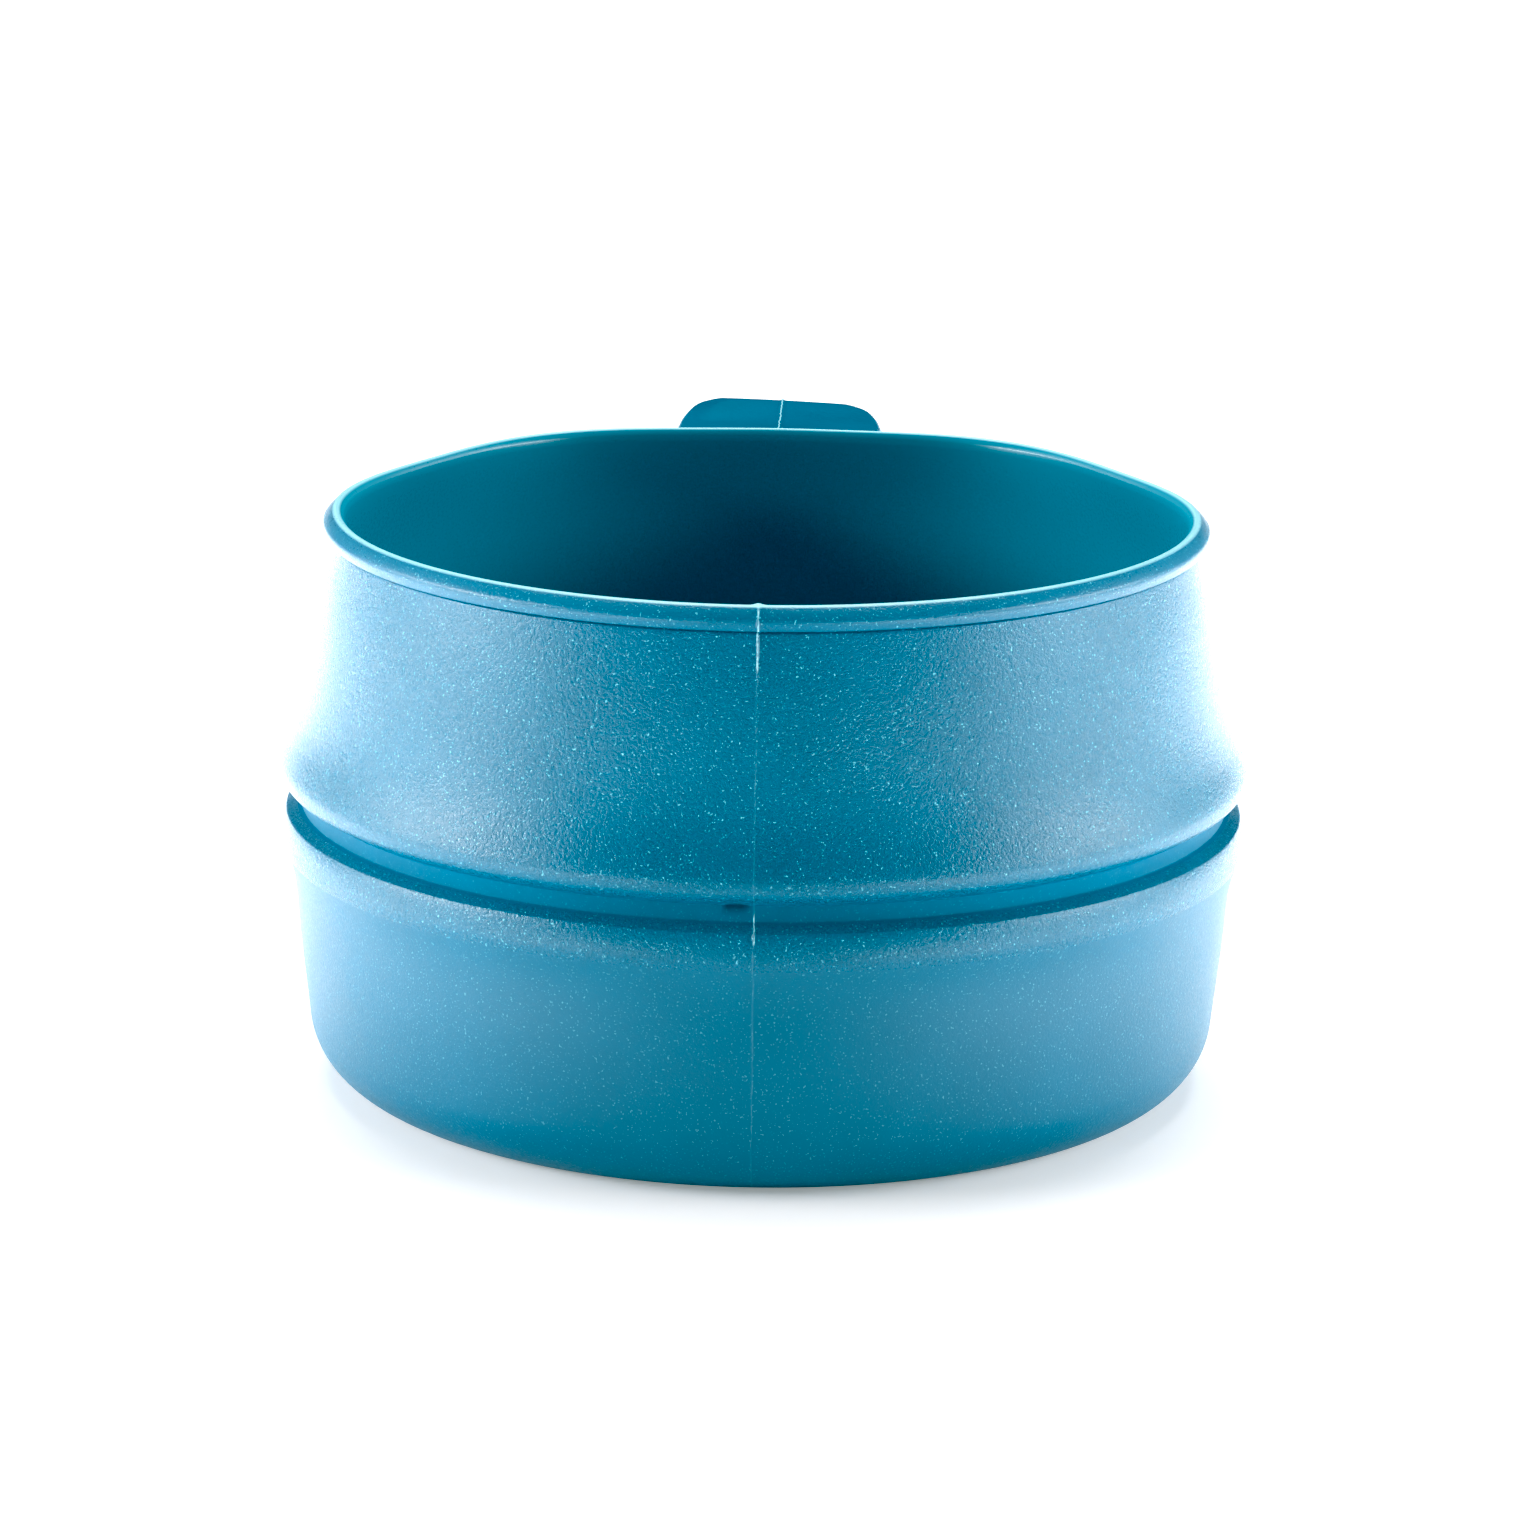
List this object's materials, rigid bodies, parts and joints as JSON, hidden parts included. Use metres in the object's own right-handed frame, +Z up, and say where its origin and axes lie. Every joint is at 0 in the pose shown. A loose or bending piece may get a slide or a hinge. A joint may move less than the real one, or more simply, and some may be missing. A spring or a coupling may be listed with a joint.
{
  "type": "collapsible travel cup",
  "caption": "Soft one-piece folding cup with a rolled rim, a double-ridge fold zone and a finger-loop handle; its base pushes up inside the upper wall.",
  "frame": {"origin": "centre of the flat bottom, on the surface the cup stands on", "axes": "+Z up along the cup's axis, +Y towards the handle"},
  "size_m": [0.092, 0.1057, 0.0548],
  "materials": {
    "moulded_plastic": "satin, fine spark-eroded grain",
    "smooth_plastic": "satin, smooth"
  },
  "bodies": {
    "upper_cup": {"base_corner": "moulded_plastic", "lower_wall": "moulded_plastic", "lower_ridge": "moulded_plastic", "fold_band": "smooth_plastic", "upper_ridge": "moulded_plastic", "upper_wall": "moulded_plastic", "rim_bead": "smooth_plastic", "handle_top_arm": "smooth_plastic", "handle_outer_strap": "smooth_plastic", "handle_lower_arm": "smooth_plastic"},
    "base": {"base_panel": "moulded_plastic"}
  },
  "joints": [
    {"name": "collapse", "type": "slide", "parent": "upper_cup", "child": "base", "axis": [0, 0, 1], "range_m": [0, 0.046], "deforming": ["lower_wall", "base_corner"]}
  ]
}
